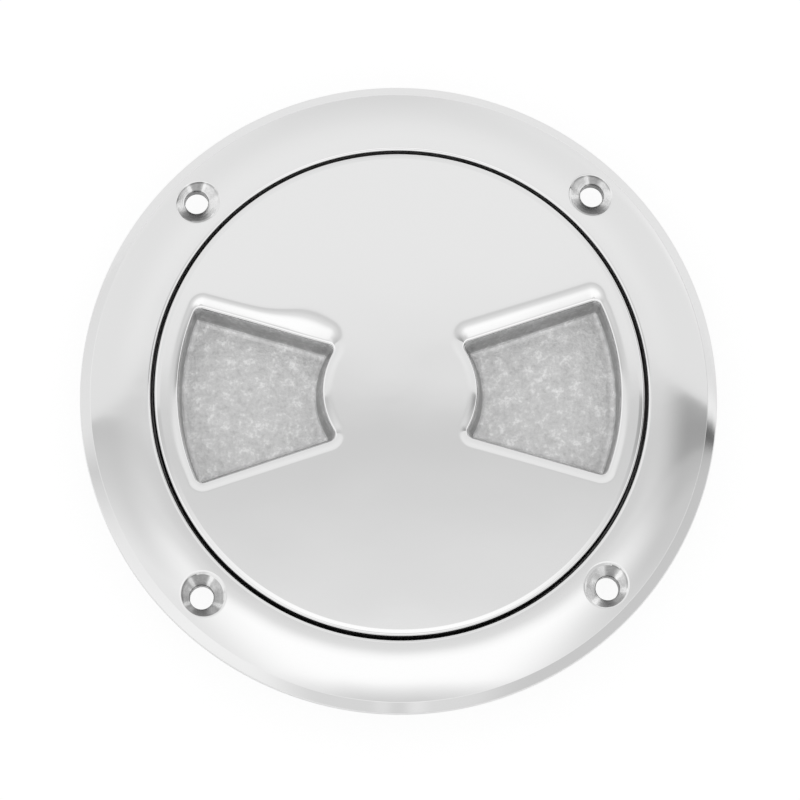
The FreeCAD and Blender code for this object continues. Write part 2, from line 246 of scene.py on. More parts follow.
def trim_selected(gone):
    """Delete the selected corners that pass a test, then those where the rest only touches itself."""
    chosen = [vertex for vertex in edit_mesh().verts if vertex.select]
    flags = gone([vertex.co.copy() for vertex in chosen])
    bpy.ops.mesh.select_all(action="DESELECT")
    for vertex, flag in zip(chosen, flags):
        vertex.select_set(bool(flag))
    bmesh.update_edit_mesh(bpy.context.edit_object.data)
    bpy.ops.mesh.delete(type="VERT")
    bpy.ops.mesh.select_all(action="SELECT")
    bpy.ops.mesh.delete_loose()
    pinched = [
        vertex for vertex in edit_mesh().verts
        if sum(edge.is_boundary for edge in vertex.link_edges) > 2
    ]
    if pinched:
        bpy.ops.mesh.select_all(action="DESELECT")
        for vertex in pinched:
            vertex.select_set(True)
        bmesh.update_edit_mesh(bpy.context.edit_object.data)
        trim_selected(lambda places: [True] * len(places))


def select_open_edges(test):
    """Select the edges at the rim of a face, or with no face, whose two ends pass a test."""
    bpy.ops.mesh.select_all(action="DESELECT")
    mesh = edit_mesh()
    count = 0
    for edge in mesh.edges:
        if len(edge.link_faces) < 2 and test(edge.verts[0].co) and test(edge.verts[1].co):
            edge.select_set(True)
            count += 1
    bmesh.update_edit_mesh(bpy.context.edit_object.data)
    return count


def fill_between(test):
    """Fill the band between two nested open loops, whose corners pass a test."""
    count = select_open_edges(test)
    bpy.ops.mesh.fill(use_beauty=True)
    return count


def bridge(test):
    """Join two open loops that lie close together, whose corners pass a test."""
    count = select_open_edges(test)
    bpy.ops.mesh.bridge_edge_loops()
    return count


def add_grid(low, high, spacing, height):
    """A level grid of faces over a box seen from above. It stays selected."""
    middle = ((low[0] + high[0]) / 2, (low[1] + high[1]) / 2, height)
    size = max(high[0] - low[0], high[1] - low[1])
    cells = round(size / spacing)
    bpy.ops.mesh.select_all(action="DESELECT")
    bpy.ops.mesh.primitive_grid_add(x_subdivisions=cells, y_subdivisions=cells, size=size, location=middle)


def keep_bottom(name, node, kept):
    """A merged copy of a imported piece, with only the faces that a test keeps. They are marked."""
    bpy.ops.object.select_all(action="DESELECT")
    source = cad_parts[node]
    copy = bpy.data.objects.new(name, source.data.copy())
    bpy.context.scene.collection.objects.link(copy)
    copy.data.materials.clear()
    bpy.context.view_layer.objects.active = copy
    copy.select_set(True)
    bpy.ops.object.mode_set(mode="EDIT")
    bpy.ops.mesh.select_all(action="SELECT")
    bpy.ops.mesh.remove_doubles(threshold=0.001 * mm)
    bpy.ops.mesh.select_all(action="DESELECT")
    bpy.ops.mesh.select_mode(type="FACE")
    mesh = edit_mesh()
    mesh.faces.ensure_lookup_table()
    keeps = kept([face.calc_center_median() for face in mesh.faces])
    for face, keep in zip(mesh.faces, keeps):
        face.select_set(not keep)
    bmesh.update_edit_mesh(copy.data)
    bpy.ops.mesh.delete(type="FACE")
    bpy.ops.mesh.select_mode(type="VERT")
    bpy.ops.object.mode_set(mode="OBJECT")
    marks = copy.data.attributes.new("as_packed", "BOOLEAN", "FACE")
    marks.data.foreach_set("value", [True] * len(copy.data.polygons))
    print(name, "keeps", len(copy.data.polygons), "faces")
    return copy


def join_to(piece, other):
    """Join another object to a piece, and open the piece in edit mode."""
    bpy.ops.object.select_all(action="DESELECT")
    other.select_set(True)
    piece.select_set(True)
    bpy.context.view_layer.objects.active = piece
    bpy.ops.object.join()
    bpy.ops.object.mode_set(mode="EDIT")


def close_piece(piece, sharp=math.radians(32), packed_sharp=math.radians(12)):
    """Turn all faces outwards and smooth all but the sharp edges, with more say for the larger faces."""
    bpy.ops.mesh.select_all(action="SELECT")
    bpy.ops.mesh.normals_make_consistent(inside=False)
    packed = edit_mesh().faces.layers.bool["as_packed"]
    for edge in edit_mesh().edges:
        if len(edge.link_faces) == 2 and all(face[packed] for face in edge.link_faces):
            edge.smooth = edge.calc_face_angle() < packed_sharp
    open_edges = sum(1 for edge in edit_mesh().edges if len(edge.link_faces) != 2)
    volume = edit_mesh().calc_volume() / mm ** 3
    bpy.ops.object.mode_set(mode="OBJECT")
    bpy.ops.object.shade_smooth_by_angle(angle=sharp, keep_sharp_edges=True)
    bpy.ops.object.modifier_add(type="WEIGHTED_NORMAL")
    piece.modifiers[-1].keep_sharp = True
    bpy.ops.object.modifier_apply(modifier=piece.modifiers[-1].name)
    print(piece.name, len(piece.data.polygons), "faces,", open_edges, "open edges,", round(volume), "mm3")


# %% [markdown]
# ## Deck ring
# The flange is turned: its section runs up the wall of the recess, over the rounded inner edge,
# across the crowned top and down the bevel to the underside. Four countersunk holes are let into it.

# %% Deck ring: turned skin
ring_steps = 384


def crown(radius):
    """Height of the flange's crowned top at a distance from the axis."""
    return flange_height - crown_radius + math.sqrt(crown_radius ** 2 - (radius - crown_start) ** 2)


crown_points = [(crown_start + (bevel_start - crown_start) * step / 18, 0.0, 0.0) for step in range(19)]
crown_points = [(across, crown(across), 0.0) for across, _, _ in crown_points]
ring_section = rounded_section([
    (recess_radius, ledge_height + 0.05 * mm, 0.0),
    (recess_radius, ledge_height + 1.2 * mm, 0.0),
    (recess_radius, ledge_height + 2.4 * mm, 0.0),
    (recess_radius, flange_height, recess_round),
    *crown_points[:-1],
    (bevel_start, crown(bevel_start), bevel_round),
    ((bevel_start + flange_radius) / 2, (crown(bevel_start) + edge_height) / 2, 0.0),
    (flange_radius, edge_height, edge_round),
    (flange_radius, 0.0, underside_round),
    (flange_radius - underside_round, 0.0, 0.0),
])[:-5]
ring_rows = [circle(point.x, point.y, ring_steps) for point in ring_section]
deck_ring = start_piece("deck_ring_casting", ring_rows[0])
pull_through(ring_rows)
print("ring rows", len(ring_rows))

# %% [markdown]
# A countersink is a cone that a drill leaves. Where it meets the crowned top its mouth isn't quite
# a circle, so each point of the mouth is found where the cone's height equals the crown's.

# %% Deck ring: countersunk screw holes
hole_steps = 96
countersink_bottom = crown(screw_circle) - (countersink - screw_hole)
cone_rows = 12
mouth_ease = 0.3 * mm
lowest_top = 3.2 * mm


def from_axis(centre, place):
    """Distance of a place from a hole's axis."""
    return math.hypot(place.x - centre[0], place.y - centre[1])


def mouth_reach(centre, turn):
    """How far the cone reaches from a hole's axis, in one direction, before it meets the crown."""
    reach = countersink
    for _ in range(8):
        across = math.hypot(centre[0] + reach * math.cos(turn), centre[1] + reach * math.sin(turn))
        reach = screw_hole + crown(across) - countersink_bottom
    return reach


def on_crown(centre, turn, reach):
    """A place on the crowned top at a reach from a hole's axis."""
    across, up = centre[0] + reach * math.cos(turn), centre[1] + reach * math.sin(turn)
    return Vector((across, up, crown(math.hypot(across, up))))


def mouth_row(centre, reaches, beyond):
    """Places on the crowned top all round a mouth, a length beyond its edge."""
    return [on_crown(centre, turn, reach + beyond) for turn, reach in zip(hole_turns, reaches)]


hole_turns = [2 * math.pi * step / hole_steps for step in range(hole_steps)]
hole_centres = [
    (screw_circle * math.cos(math.radians(turn)), screw_circle * math.sin(math.radians(turn)))
    for turn in (45, 135, 225, 315)
]
for centre in hole_centres:
    reaches = [mouth_reach(centre, turn) for turn in hole_turns]
    outer_mouth = mouth_row(centre, reaches, 1.3 * mouth_ease)
    clear = mouth_row(centre, reaches, 2.2 * mouth_ease)
    bpy.ops.mesh.select_all(action="SELECT")
    trim_selected(
        lambda places: inside(clear, places) & np.array([place.z > crown(bevel_start) for place in places])
    )
    add_loop(outer_mouth)
    rows = [outer_mouth]
    for beyond in (1.0, 0.75, 0.5, 0.25, 0.0):
        drop = Vector((0, 0, (1 - beyond) ** 2 * 0.5 * mouth_ease))
        rows.append([place - drop for place in mouth_row(centre, reaches, beyond * mouth_ease)])
    mouth = rows[-1]
    bottom = circle(screw_hole, countersink_bottom, hole_steps, centre)
    for row in range(1, cone_rows + 1):
        share = row / cone_rows
        rows.append([high.lerp(low, share) for high, low in zip(mouth, bottom)])
    for share in (0.3, 0.6, 0.9):
        rows.append(circle(screw_hole, countersink_bottom * (1 - share), hole_steps, centre))
    pull_through(rows)
    reach_limit = countersink + 3.2 * mm
    filled = fill_between(lambda place: place.z > lowest_top and from_axis(centre, place) < reach_limit)
    print("countersink filled between", filled, "edges")

# %% [markdown]
# The collar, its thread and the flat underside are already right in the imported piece. A copy of
# those faces is joined to the turned skin, and the open circles are bridged, so the ring is closed.

# %% Deck ring: collar and underside
def ring_bottom(middles):
    """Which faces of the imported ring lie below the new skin."""
    kept = []
    for middle in middles:
        across = middle.to_2d().length
        if across > recess_radius + 0.5 * mm:
            kept.append(middle.z < 0.001 * mm and across < flange_radius - 0.02 * mm)
        else:
            kept.append(middle.z < ledge_height + 0.01 * mm)
    return kept


bpy.ops.object.mode_set(mode="OBJECT")
join_to(deck_ring, keep_bottom("ring_bottom", "deck_ring", ring_bottom))
bridge(lambda place: abs(math.hypot(place.x, place.y) - recess_radius) < 0.1 * mm)
bridge(lambda place: math.hypot(place.x, place.y) > flange_radius - 1.0 * mm)
for centre in hole_centres:
    bridge(lambda place: abs(from_axis(centre, place) - screw_hole) < 0.1 * mm)
close_piece(deck_ring)

# %% [markdown]
# Each cone has painted reflections in its colour: bright rays and darker sectors. They are different in
# each hole, and a value on each corner of the mesh holds them. A hole has its plain level, its rays and
# its sectors, which have a direction in degrees from the right and a width. The holes go round from
# the upper right one. A painted dark line runs just under the mouth on the upper half, and the bore
# is painted dark as shade.

# %% Deck ring: painted reflections in the countersinks
# Greys of the painted bright rays, the painted darker sectors and the bore's painted shade, and the depth
# of the painted dark line under the mouth.
painted_ray_grey, painted_sector_grey, painted_bore_shade = 1.25, 0.42, 0.24
painted_line_depth = 0.3 * mm
painted_hole_glints = [
    (0.84, [(108, 7), (188, 5), (356, 16)], [(82, 28), (258, 50)]),
    (0.86, [(117, 7), (62, 4), (189, 12), (352, 14)], [(90, 26), (264, 55)]),
    (0.62, [(122, 6), (60, 6), (203, 6), (332, 6)], [(91, 30), (268, 58)]),
    (0.76, [(109, 10), (48, 6), (225, 7), (350, 8)], [(80, 24), (288, 50)]),
]


def near(turn, direction, width, power):
    """1 in a direction, and falling to 0 beyond a width."""
    apart = abs((turn - direction + 180) % 360 - 180)
    return math.exp(-(apart / width) ** power)


def painted_glint_at(place, centre, marks):
    """How bright the painted reflections make a place in a hole, with the bore's painted shade and the
    painted dark line.
    """
    if from_axis(centre, place) < screw_hole + 0.02 * mm and place.z < countersink_bottom - 0.1 * mm:
        return painted_bore_shade
    turn = math.degrees(math.atan2(place.y - centre[1], place.x - centre[0]))
    level, rays, sectors = marks
    for direction, width in sectors:
        level += (painted_sector_grey - level) * near(turn, direction, width, 4)
    for direction, width in rays:
        level += (painted_ray_grey - level) * near(turn, direction, width, 2)
    # A painted dark line just under the mouth, on the upper half of each hole.
    below = crown(place.to_2d().length) - place.z
    painted_rim_line = max(0.0, 1 - abs(below - painted_line_depth) / painted_line_depth) * near(turn, 95, 100, 4)
    return level * (1 - 0.5 * painted_rim_line)


painted_glints = deck_ring.data.attributes.new("painted_glints", "FLOAT", "POINT")
levels = []
for vertex in deck_ring.data.vertices:
    level = 0.0
    for centre, marks in zip(hole_centres, painted_hole_glints):
        if from_axis(centre, vertex.co) < countersink + 0.5 * mm and vertex.co.z > -0.01 * mm:
            level = painted_glint_at(vertex.co, centre, marks)
    levels.append(level)
painted_glints.data.foreach_set("value", levels)
print("corners in the holes", sum(1 for level in levels if level > 0))

# %% [markdown]
# ## Cover
# The cover is a shallow dome with a rounded rim. Two fan-shaped finger pockets are let into it. The
# outline of a pocket is two arcs about the plate's axis, two straight sides and four rounded corners.

# %% Cover: outline of a finger pocket
pocket_corner = 1.7 * mm
least_corner = 0.35 * mm
outer_points, side_points, inner_points, corner_points = 48, 40, 28, 12


def dome(radius):
    """Height of the cover's domed top at a distance from the axis."""
    return cover_top - radius ** 2 / (2 * dome_radius)


def arc_points(centre, start, end, count):
    """Points on the shorter arc round a centre, without the end."""
    first, last = start - centre, end - centre
    begin = math.atan2(first.y, first.x)
    sweep = (math.atan2(last.y, last.x) - begin + math.pi) % (2 * math.pi) - math.pi
    turns = [begin + sweep * step / count for step in range(count)]
    return [centre + first.length * Vector((math.cos(turn), math.sin(turn))) for turn in turns]


def fan_outline(grow, turned, upright=0.0):
    """Outline of a pocket from above, grown or shrunk, with its outer arc drawn in by upright."""
    corner = max(pocket_corner + grow, least_corner)
    outer, inner, offset = pocket_outer + grow - upright, pocket_inner - grow, pocket_offset + grow
    along = Vector((math.cos(pocket_slope), math.sin(pocket_slope)))
    aside = Vector((-along.y, along.x))
    axis = Vector((0.0, 0.0))
    shift = offset - corner
    outer_centre = aside * shift + along * math.sqrt((outer - corner) ** 2 - shift ** 2)
    inner_centre = aside * shift + along * math.sqrt((inner + corner) ** 2 - shift ** 2)
    outer_touch = outer_centre * (outer / outer_centre.length)
    inner_touch = inner_centre * (inner / inner_centre.length)
    side_out, side_in = outer_centre + aside * corner, inner_centre + aside * corner

    def mirrored(point):
        return Vector((point.x, -point.y))

    steps = [step / side_points for step in range(side_points)]
    points = arc_points(axis, mirrored(outer_touch), outer_touch, outer_points)
    points += arc_points(outer_centre, outer_touch, side_out, corner_points)
    points += [side_out.lerp(side_in, share) for share in steps]
    points += arc_points(inner_centre, side_in, inner_touch, corner_points)
    points += arc_points(axis, inner_touch, mirrored(inner_touch), inner_points)
    points += arc_points(mirrored(inner_centre), mirrored(inner_touch), mirrored(side_in), corner_points)
    points += [mirrored(side_in).lerp(mirrored(side_out), share) for share in steps]
    points += arc_points(mirrored(outer_centre), mirrored(side_out), mirrored(outer_touch), corner_points)
    return [-point for point in points] if turned else points


print("outline", len(fan_outline(0.0, False)), "points")

# %% [markdown]
# Each pocket is pulled down from its outline: a rounded lip, a drafted wall, a small fillet and then
# the floor. On the upper side the lip is wider and its edge blunter, where the polishing wore it down.

# %% Cover: rows of a finger pocket
lip_reach = 2.4 * mm
lip_clear = 0.15 * mm
lip_power = 2.5
outer_upright = 0.9 * mm
lip_slope = math.radians(15.5)
wall_slope = math.pi / 2 - pocket_draft
edge_of_lip = 0.8 * mm
edge_reach = edge_of_lip * (math.sin(wall_slope) - math.sin(lip_slope))
edge_fall = edge_of_lip * (math.cos(lip_slope) - math.cos(wall_slope))
dip_reach = (lip_reach + edge_fall * math.tan(pocket_draft) - edge_reach) / (
    1 - math.tan(lip_slope) * math.tan(pocket_draft) / lip_power
)
dip_fall = dip_reach * math.tan(lip_slope) / lip_power
wall_top = cover_top - dip_fall - edge_fall
fillet_height = pocket_floor + floor_fillet
wall_foot = fillet_height - floor_fillet * math.sin(pocket_draft)
fillet_reach = -(cover_top - wall_foot) * math.tan(pocket_draft) - floor_fillet * math.cos(pocket_draft)
side_first = outer_points + corner_points
side_last = side_first + side_points + 2 * corner_points + inner_points
dip_steps, edge_steps, wall_steps, fillet_steps = 12, 8, 12, 8
print("wall from", round(wall_top / mm, 2), "to", round(wall_foot / mm, 2), "mm")
print("fillet centre", round(fillet_reach / mm, 2), "mm")


def drafted(height):
    """How far the wall's outline is grown at a height."""
    return -(cover_top - height) * math.tan(pocket_draft)


def upper_side(number, turned):
    """Place along the upper side, 0 at its outer and 1 at its inner end, and a share that is 1 there."""
    along = 1 - (number - side_last) / side_points if turned else (number - side_first) / side_points
    fade = corner_points / side_points
    share = max(0.0, min(1.0, (along + fade) / fade, (1 + fade - along) / fade))
    return along, share * share * (3 - 2 * share)


def worn_lip(number, turned):
    """How much wider than usual the lip is at a point of the outline."""
    along, upper = upper_side(number, turned)
    hump = 0.6 + 1.6 * math.exp(-((along - 0.82) / 0.25) ** 2) if turned else 1.15
    return 1 + upper * hump


def outwards_of(outline):
    """Directions that point out of an outline at its points."""
    pairs = zip(outline[-1:] + outline[:-1], outline[1:] + outline[:1])
    tangents = [after - before for before, after in pairs]
    return [Vector((tangent.y, -tangent.x)).normalized() for tangent in tangents]


def pocket_rows(turned):
    """Rows of a finger pocket from the lip down to the floor's edge."""
    lip_foot = fan_outline(drafted(wall_top), turned, outer_upright)
    wear = [worn_lip(number, turned) for number in range(len(lip_foot))]
    blunt = [1 + upper_side(number, turned)[1] for number in range(len(lip_foot))]
    outwards = outwards_of(lip_foot)
    profile = [(dip_reach + lip_clear, 0.0, 0.0, 0.0)]
    for step in range(dip_steps + 1):
        share = step / dip_steps
        profile.append((dip_reach * (1 - share), dip_fall * share ** lip_power, 0.0, 0.0))
    for step in range(1, edge_steps + 1):
        lean = lip_slope + (wall_slope - lip_slope) * step / edge_steps
        across = edge_of_lip * (math.sin(lean) - math.sin(lip_slope))
        down = edge_of_lip * (math.cos(lip_slope) - math.cos(lean))
        profile.append((0.0, dip_fall, across, down))
    rows = []
    for dip, fall, across, down in profile:
        row = []
        for foot, outward, worn, wide in zip(lip_foot, outwards, wear, blunt):
            place = foot + outward * (dip * worn + (edge_reach - across) * wide)
            lower = cover_top - dome(place.length) + dip_fall * (worn - 1) + edge_fall * (wide - 1)
            place -= outward * lower * math.tan(pocket_draft)
            row.append(place.to_3d() + Vector((0, 0, dome(place.length) - fall * worn - down * wide)))
        rows.append(row)
    lip_end = rows[-1]
    foot_outline = fan_outline(drafted(wall_foot), turned)
    foot_row = [point.to_3d() + Vector((0, 0, wall_foot)) for point in foot_outline]
    for step in range(1, wall_steps + 1):
        rows.append([high.lerp(low, step / wall_steps) for high, low in zip(lip_end, foot_row)])
    for step in range(1, fillet_steps + 1):
        lean = pocket_draft + wall_slope * step / fillet_steps
        outline = fan_outline(fillet_reach + floor_fillet * math.cos(lean), turned)
        height = fillet_height - floor_fillet * math.sin(lean)
        rows.append([point.to_3d() + Vector((0, 0, height)) for point in outline])
    return rows


# %% [markdown]
# The skin of the cover starts as the rim's section, turned. The pockets are pulled down next, and a
# trimmed grid closes each floor and the dome. The floors keep the low lumps of the sand mould.

# %% Cover: skin
rim_steps = 360
rim_corner = dome(rim_slope_start) - (rim_radius - rim_slope_start) * math.tan(rim_slope)
rim_section = rounded_section([
    (rim_slope_start - 0.2 * mm, dome(rim_slope_start - 0.2 * mm), 0.0),
    (rim_slope_start, dome(rim_slope_start), 1.5 * mm),
    (rim_radius, rim_corner, rim_round),
    (rim_radius, rim_underside, rim_underside_round),
    (rim_radius - rim_underside_round, rim_underside, 0.0),
], step=math.radians(6))[:-6]
dome_edge = rim_section[0].x
cover = start_piece("cover_casting", circle(dome_edge, rim_section[0].y, rim_steps))
pull_through([circle(point.x, point.y, rim_steps) for point in rim_section])
print("dome reaches", round(dome_edge / mm, 2), "rim corner", round(rim_corner / mm, 2))

floor_lumps = 0.05 * mm
lump_size = 1.6 * mm
pocket_edges = []
for turned in (False, True):
    rows = pocket_rows(turned)
    add_loop(rows[0])
    pull_through(rows)
    pocket_edges.append(rows[0])
    floor_edge = fan_outline(fillet_reach, turned)
    floor_inset = fan_outline(fillet_reach - 0.3 * mm, turned)
    xs, ys = [point.x for point in floor_edge], [point.y for point in floor_edge]
    add_grid((min(xs), min(ys)), (max(xs), max(ys)), 0.4 * mm, pocket_floor)
    trim_selected(lambda places: ~inside(floor_inset, places))
    filled = fill_between(lambda place: abs(place.z - pocket_floor) < 0.01 * mm)
    for vertex in edit_mesh().verts:
        if abs(vertex.co.z - pocket_floor) < 0.001 * mm and len(vertex.link_edges) == 4:
            vertex.co.z += floor_lumps * noise.fractal(vertex.co / lump_size, 1.0, 2.0, 3)
    print("floor filled between", filled, "edges")

dome_spacing = 1.0 * mm
clear_edges = []
for row in pocket_edges:
    flat = [place.to_2d() for place in row]
    outwards = outwards_of(flat)
    clear_edges.append([place + outward * 0.5 * dome_spacing for place, outward in zip(flat, outwards)])


def off_dome(places):
    """Which places lie outside the dome's open face."""
    too_far = np.array([place.to_2d().length > dome_edge - 0.45 * dome_spacing for place in places])
    return too_far | inside(clear_edges[0], places) | inside(clear_edges[1], places)


add_grid((-dome_edge, -dome_edge), (dome_edge, dome_edge), dome_spacing, cover_top)
trim_selected(off_dome)
for vertex in edit_mesh().verts:
    if vertex.co.z > cover_top - 0.001 * mm:
        vertex.co.z = dome(vertex.co.to_2d().length)
bpy.ops.mesh.select_mode(type="VERT")
filled = fill_between(lambda place: place.z > rim_corner)
print("dome filled between", filled, "edges")

# %% [markdown]
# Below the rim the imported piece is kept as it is: the skirt with its thread and the undersides of
# the two bowls. They are joined to the skin and bridged, and the rim's flat underside closes it.

# %% Cover: underside
def in_pocket(middles, height):
    """Which places at a height lie within a pocket's wall or on it."""
    grown = [fan_outline(drafted(height) + 1.0 * mm, turned) for turned in (False, True)]
    return inside(grown[0], middles) | inside(grown[1], middles)


def cover_bottom(middles):
    """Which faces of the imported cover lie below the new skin."""
    low, high = pocket_floor - 0.3 * mm, rim_underside + 0.25 * mm
    pocketed = np.zeros(len(middles), dtype=bool)
    layers = 12
    for layer in range(layers):
        top = high - (high - low) * layer / layers
        bottom = high - (high - low) * (layer + 1) / layers
        within = np.array([bottom < middle.z <= top for middle in middles])
        pocketed |= within & in_pocket(middles, (top + bottom) / 2)
    kept = []
    for middle, pocket in zip(middles, pocketed):
        across = middle.to_2d().length
        on_rim = across > rim_radius - 0.7 * mm and middle.z > rim_underside + 0.002 * mm
        kept.append(middle.z <= high and not on_rim and not pocket)
    return kept


bpy.ops.object.mode_set(mode="OBJECT")
join_to(cover, keep_bottom("cover_bottom", "cover", cover_bottom))
bridge(lambda place: place.to_2d().length > rim_radius - 1.0 * mm)
close_piece(cover)

# %% [markdown]
# The wheel polishes the lips and stops where they turn down into the walls. A value on each corner of
# the mesh says how steep the pocket's skin is there, so that the finish can change at that border.

# %% Cover: where the casting is left unpolished
level_normal, steep_span = 0.95, 0.7
cast = cover.data.attributes.new("cast", "FLOAT", "POINT")
corners = cover.data.vertices
pocketed = in_pocket([vertex.co for vertex in corners], wall_foot + 1.0 * mm)
pocketed |= in_pocket([vertex.co for vertex in corners], cover_top)
shares = []
for vertex, within in zip(corners, pocketed):
    steepness = min(1.0, max(0.0, (level_normal - vertex.normal.z) / steep_span))
    shares.append((1.0 if vertex.co.z < wall_foot else steepness) if within else 0.0)
cast.data.foreach_set("value", shares)
print("unpolished corners", sum(1 for share in shares if share > 0.5))

# %% [markdown]
# ## Seal
# The seal is a moulded rubber ring of round section, between the ring's ledge and the cover's rim.

# %% Seal
seal_section = (seal_high.z - seal_low.z) / 2
bpy.ops.object.select_all(action="DESELECT")
bpy.ops.mesh.primitive_torus_add(
    major_segments=256, minor_segments=32, major_radius=seal_high.x - seal_section,
    minor_radius=seal_section, location=(0, 0, (seal_high.z + seal_low.z) / 2),
)
seal = bpy.context.object
seal.name = "rubber_seal"
bpy.ops.object.transform_apply(location=True)
bpy.ops.object.shade_smooth()
print("seal", round(seal_high.x / mm, 2), "radius", round(seal_section / mm, 2), "half thickness")

# %% [markdown]
# ## Materials
# All finishes are made of nodes in the pieces' own coordinates, so that they go with the metal.

# %% Helpers: nodes
def add_node(tree, kind, inputs=None, **settings):
    """A node with its settings, whose inputs are values or linked outputs."""
    made = tree.nodes.new(kind)
    for key, value in settings.items():
        setattr(made, key, value)
    for key, value in (inputs or {}).items():
        if isinstance(value, bpy.types.NodeSocket):
            tree.links.new(value, made.inputs[key])
        else:
            made.inputs[key].default_value = value
    return made


def calculate(tree, operation, *values):
    """Output of a math node."""
    return add_node(tree, "ShaderNodeMath", dict(enumerate(values)), operation=operation).outputs[0]


def ease(tree, value, low, high):
    """0 below low and 1 above high, with a smooth step between them."""
    inputs = {"Value": value, "From Min": low, "From Max": high}
    return add_node(tree, "ShaderNodeMapRange", inputs, interpolation_type="SMOOTHSTEP").outputs[0]


def blend_values(tree, share, first, second):
    """First where share is 0 and second where it is 1."""
    return add_node(tree, "ShaderNodeMix", {0: share, 2: first, 3: second}).outputs[0]


def curve_of(tree, value, stops):
    """A smooth value over a range, from stops of (value, result)."""
    low, high = stops[0][0], stops[-1][0]
    inputs = {"Value": value, "From Min": low, "From Max": high}
    position = add_node(tree, "ShaderNodeMapRange", inputs).outputs[0]
    ramp = add_node(tree, "ShaderNodeValToRGB", {"Fac": position})
    elements = ramp.color_ramp.elements
    while len(elements) < len(stops):
        elements.new(0.5)
    for element, (place, result) in zip(elements, stops):
        element.position = (place - low) / (high - low)
        element.color = grey_of(result)
    return add_node(tree, "ShaderNodeRGBToBW", {0: ramp.outputs[0]}).outputs[0]


def noise_of(tree, place, size, detail=2.0, roughness=0.5, offset=0.0):
    """Noise from 0 to 1 with features of about the given size."""
    moved = add_node(tree, "ShaderNodeVectorMath", {0: place, 1: (offset, offset, offset)}).outputs[0]
    inputs = {"Vector": moved, "Scale": 1 / size, "Detail": detail, "Roughness": roughness}
    return add_node(tree, "ShaderNodeTexNoise", inputs).outputs["Fac"]


def grey_of(value):
    """A colour that is the same grey in all three channels."""
    return (value, value, value, 1.0)


def mixed_grey(tree, value):
    """Colour output of a grey that varies."""
    return add_node(tree, "ShaderNodeCombineColor", {0: value, 1: value, 2: value}).outputs[0]


def new_material(name, **constants):
    """A material with its tree, its main shader and the place of the shaded point."""
    material = bpy.data.materials.new(name)
    material.use_nodes = True
    tree = material.node_tree
    shader = tree.nodes["Principled BSDF"]
    for key, value in constants.items():
        shader.inputs[key.replace("_", " ")].default_value = value
    place = add_node(tree, "ShaderNodeTexCoord").outputs["Object"]
    return material, tree, shader, place


# %% [markdown]
# Hand polishing leaves slow waves that bend the reflections a little. The waves are one node group,
# because the flange and the cover were polished on the same wheel.

# %% Node group: waves of hand polishing
waves = bpy.data.node_groups.new("polishing_waves", "ShaderNodeTree")
waves.interface.new_socket("Normal", in_out="OUTPUT", socket_type="NodeSocketVector")
place = add_node(waves, "ShaderNodeTexCoord").outputs["Object"]
slow = noise_of(waves, place, 26 * mm, detail=1.0)
quick = noise_of(waves, place, 7 * mm, detail=2.0, offset=0.31)
slow_height = calculate(waves, "MULTIPLY", slow, 0.17 * mm)
height = calculate(waves, "MULTIPLY_ADD", quick, 0.006 * mm, slow_height)
bump = add_node(waves, "ShaderNodeBump", {"Height": height, "Distance": 1.0})
output = waves.nodes.new("NodeGroupOutput")
waves.links.new(bump.outputs[0], output.inputs[0])


def polishing_waves(tree):
    """Normal of a hand polished face."""
    return add_node(tree, "ShaderNodeGroup", node_tree=waves).outputs[0]


# %% Polished steel of the flange
polished_grey, polished_roughness = 0.90, 0.07
flange_steel, tree, shader, place = new_material(
    "flange_steel", Base_Color=grey_of(polished_grey), Metallic=1.0, Roughness=polished_roughness
)
tree.links.new(polishing_waves(tree), shader.inputs["Normal"])

# %% [markdown]
# The cover is one casting, polished on top and left as cast in the pockets. The border between both
# finishes is ragged, because the wheel skips over the grain of the casting where the wall begins.
# In the pockets the grey also carries painted light by height: a painted highlight along the fillet
# above the floor, and painted shade down the walls.

# %% Steel of the cover
cover_steel, tree, shader, place = new_material("cover_steel", Metallic=1.0)
height = add_node(tree, "ShaderNodeSeparateXYZ", {0: place}).outputs[2]
cast_share = add_node(tree, "ShaderNodeAttribute", attribute_name="cast").outputs["Fac"]
chips = noise_of(tree, place, 0.9 * mm, detail=4.0, roughness=0.7)
ragged = calculate(tree, "MULTIPLY_ADD", calculate(tree, "SUBTRACT", chips, 0.5), 0.9, cast_share)
unpolished = ease(tree, ragged, 0.68, 0.80)
blotches = noise_of(tree, place, 2.4 * mm, detail=3.0, roughness=0.6)
grains = noise_of(tree, place, 0.8 * mm, detail=3.0, roughness=0.65, offset=0.17)
mottled = blend_values(tree, 0.45, blotches, grains)
floor_grey = curve_of(tree, mottled, [(0.30, 0.56), (0.45, 0.68), (0.54, 0.74), (0.61, 0.87), (0.70, 0.97)])
# Painted light by height above the pocket floor: a painted highlight along the fillet, painted shade on the
# walls from about 1 to 6 mm up, lighter again towards the top.
rise = calculate(tree, "DIVIDE", calculate(tree, "SUBTRACT", height, pocket_floor), mm)
painted_shade_and_highlight = curve_of(tree, rise, [
    (0.0, 1.00), (0.12, 1.00), (0.3, 1.20), (0.8, 1.20), (1.1, 0.80),
    (2.0, 0.66), (5.0, 0.66), (6.5, 0.82), (9.0, 0.90),
])
cast_grey_and_painted_light = calculate(tree, "MULTIPLY", floor_grey, painted_shade_and_highlight)
grey = blend_values(tree, unpolished, polished_grey, cast_grey_and_painted_light)
tree.links.new(mixed_grey(tree, grey), shader.inputs["Base Color"])
tree.links.new(blend_values(tree, unpolished, polished_roughness, 0.5), shader.inputs["Roughness"])
grain_bump = add_node(tree, "ShaderNodeBump", {
    "Height": mottled, "Distance": 0.3 * mm, "Strength": unpolished, "Normal": polishing_waves(tree),
})
tree.links.new(grain_bump.outputs[0], shader.inputs["Normal"])
